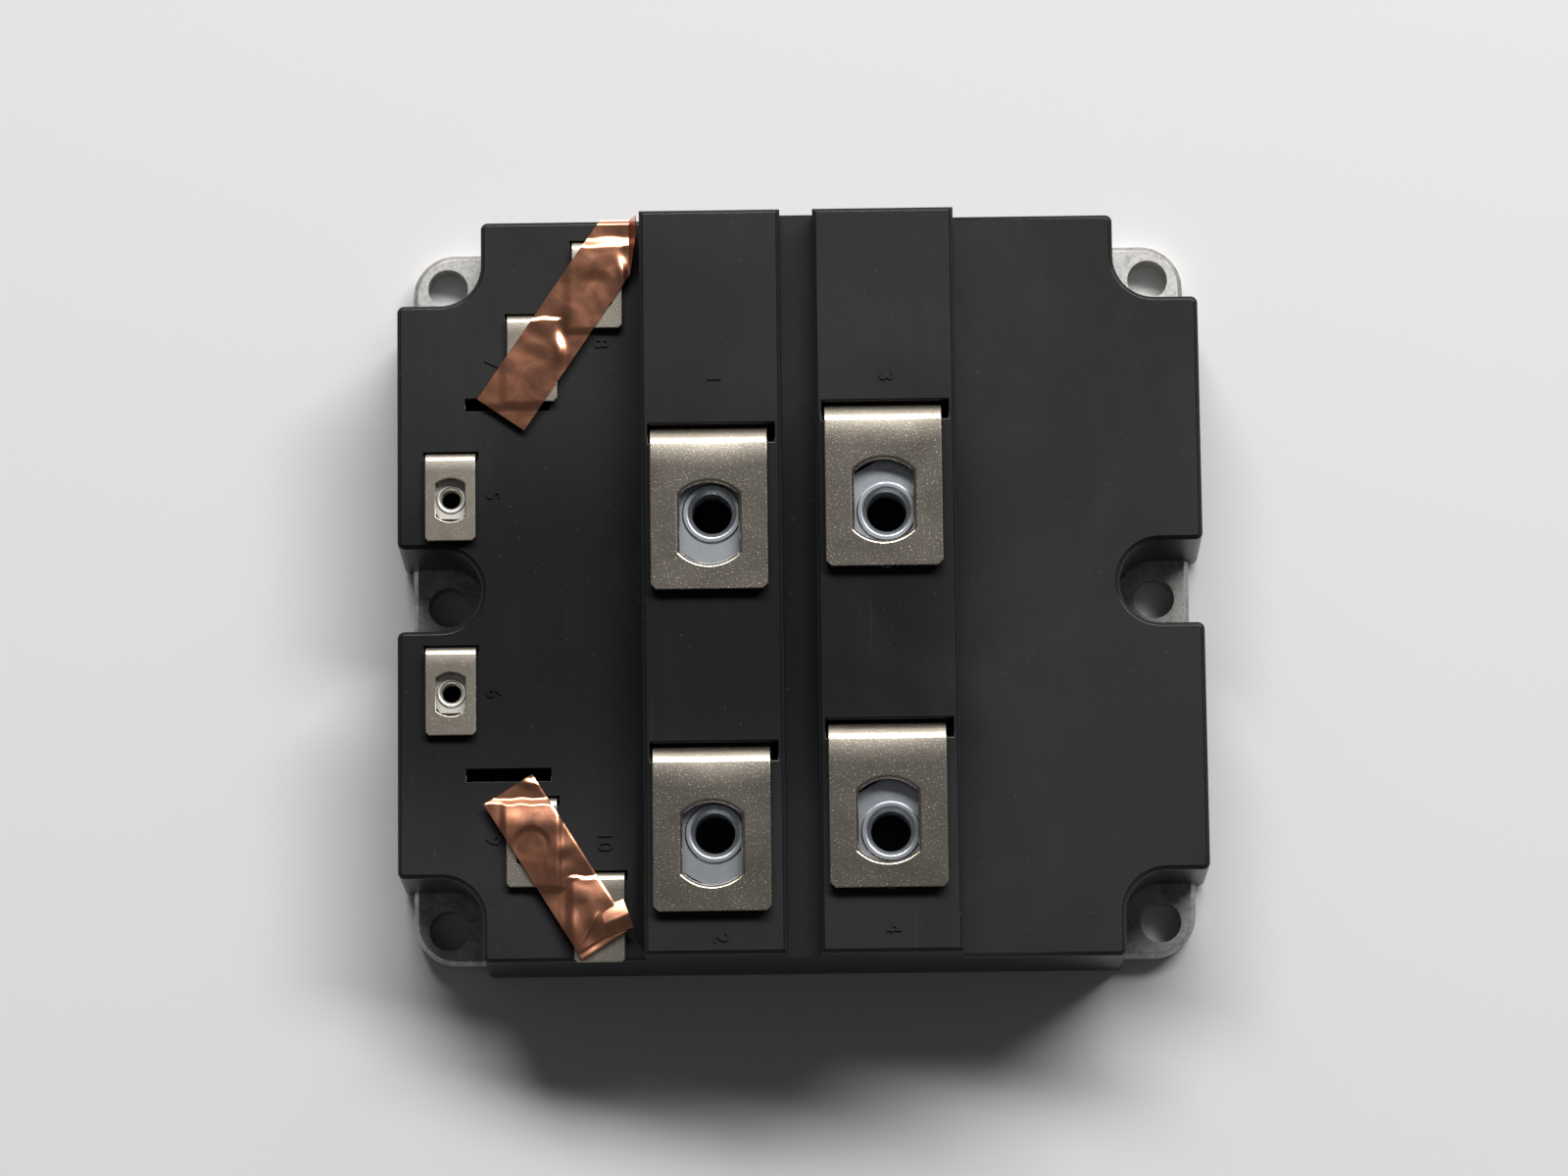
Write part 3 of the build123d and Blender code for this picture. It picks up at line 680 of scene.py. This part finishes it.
# the corner that is turned over, with a crease across it
def addCorner(bm, look):
    flap = bmesh.ops.create_grid(bm, x_segments=look["grid"], y_segments=look["grid"], size=0.5)
    first, second, third, fourth = [Vector((*corner, 0)) for corner in look["corners"]]
    for vert in flap["verts"]:
        along = vert.co.x + 0.5
        down = 0.5 - vert.co.y
        climb = min(down / look["ridgeAt"], 1) - look["fall"] * smoothStep(down, look["ridgeAt"], 1)
        share = look["firstShare"] + (1 - look["firstShare"]) * along
        vert.co = first.lerp(second, along).lerp(fourth.lerp(third, along), down)
        vert.co.z = look["low"] + look["ridge"] * climb * share


for name, look in foils.items():
    bm = flatStrip(look)
    for vert in bm.verts:
        vert.co.z = foilHeight(vert.co.x, vert.co.y, look)
        if look["wallX"] and vert.co.x > look["wallX"]:
            over = vert.co.x - look["wallX"]
            vert.co.x = look["wallX"] + min(wallFold["lean"] * over, wallFold["mostLean"])
            vert.co.z += wallFold["climb"] * over
    if look["foldedCorner"]:
        addCorner(bm, look["foldedCorner"])
    bmesh.ops.scale(bm, vec=(mm, mm, mm), verts=bm.verts)
    bmesh.ops.recalc_face_normals(bm, faces=bm.faces)
    bmesh.ops.solidify(bm, geom=bm.faces[:], thickness=foilSize["thickness"] * mm)
    showPiece(bm, name + "_crumpled", [foilCopper], [name])
print("foils made")


# raised place numbers, read from the right-hand side, with places in mm

numbers = {
    "size": 3.64 * mm, "raise": 0.26 * mm,
    "tower": {
        "top": 36 * mm,
        "marks": [("1", -14.5, 34.5), ("3", 15.0, 34.6), ("2", -14.1, -61.3), ("4", 15.0, -60.0)],
    },
    "deck": {
        "top": 26.5 * mm,
        "marks": [
            ("5", -52.9, 16.4), ("6", -52.9, -18.0), ("7", -53.2, 39.6),
            ("8", -34.1, 42.8), ("9", -53.1, -43.3), ("10", -34.0, -43.7),
        ],
    },
}
sideways = Matrix.Rotation(-math.pi / 2, 4, "Z")
reliefs = bmesh.new()
for level in (numbers["tower"], numbers["deck"]):
    for digits, x, y in level["marks"]:
        words = bpy.data.curves.new("number", "FONT")
        words.body = digits
        words.size = numbers["size"]
        words.extrude = numbers["raise"]
        words.align_x = "CENTER"
        words.align_y = "CENTER"
        holder = bpy.data.objects.new("number", words)
        mesh = bpy.data.meshes.new_from_object(holder)
        mesh.transform(Matrix.Translation((x * mm, y * mm, level["top"])) @ sideways)
        reliefs.from_mesh(mesh)
        bpy.data.objects.remove(holder)
showPiece(reliefs, "place_numbers", [plastic], [])
print("numbers made")


# floor, light and camera

stage = {
    "size": 3.0, "below": 0.02 * mm, "specular": 0.2,
    "light": (0.80, 0.80, 0.805, 1), "shade": (0.78, 0.78, 0.79, 1), "rough": 0.6, "uneven": 0.1,
}
bm = bmesh.new()
bmesh.ops.create_grid(bm, x_segments=1, y_segments=1, size=stage["size"] / 2)
bmesh.ops.translate(bm, vec=(0, 0, -stage["below"]), verts=bm.verts)
floorMesh = bpy.data.meshes.new("floor")
bm.to_mesh(floorMesh)
bm.free()
card, cardShader, cardPlace = startFinish("pale card", {"Specular IOR Level": stage["specular"]})
plug(cardShader, {
    "Base Color": blendTones(cloud(cardPlace, scale=3), stage["light"], stage["shade"]),
    "Roughness": stage["rough"] + stage["uneven"] * cloud(cardPlace, scale=40),
})
floorMesh.materials.append(card)
floor = bpy.data.objects.new("floor", floorMesh)
bpy.context.scene.collection.objects.link(floor)

# turned from Y and risen from the floor, in degrees, and in metres and watts
lamps = {
    "window": {
        "turn": 15, "rise": 48, "far": 2.6, "wide": 3.1, "tall": 0.62,
        "power": 92.0, "tone": (1.0, 0.987, 0.975),
    },
    "wall": {
        "turn": 8, "rise": 23, "far": 2.6, "wide": 4.0, "tall": 1.75,
        "power": 14.0, "tone": (1.0, 0.95, 0.89),
    },
}
for name, look in lamps.items():
    lamp = bpy.data.lights.new(name, "AREA")
    lamp.shape = "RECTANGLE"
    lamp.size = look["wide"]
    lamp.size_y = look["tall"]
    lamp.energy = look["power"]
    lamp.color = look["tone"]
    holder = bpy.data.objects.new(name, lamp)
    bpy.context.scene.collection.objects.link(holder)
    rising = math.radians(look["rise"])
    turning = math.radians(look["turn"])
    outward = math.cos(rising)
    toward = Vector((math.sin(turning) * outward, math.cos(turning) * outward, math.sin(rising)))
    holder.location = toward * look["far"]
    holder.rotation_euler = toward.to_track_quat("Z", "Y").to_euler()

roomTone = (0.060, 0.060, 0.062, 1)
world = bpy.data.worlds.new("room")
bpy.context.scene.world = world
world.use_nodes = True
world.node_tree.nodes["Background"].inputs["Color"].default_value = roomTone

view = {
    "place": (5.04 * mm, -136.75 * mm, 953.97 * mm), "turn": (8.36, 0.48, -0.74),
    "lens": 125.18, "sensor": 36,
}
eye = bpy.data.cameras.new("camera")
eye.sensor_width = view["sensor"]
eye.lens = view["lens"]
camera = bpy.data.objects.new("camera", eye)
bpy.context.scene.collection.objects.link(camera)
camera.rotation_mode = "ZYX"
camera.rotation_euler = [math.radians(angle) for angle in view["turn"]]
camera.location = view["place"]
bpy.context.scene.camera = camera
bpy.context.scene.view_settings.view_transform = "Standard"
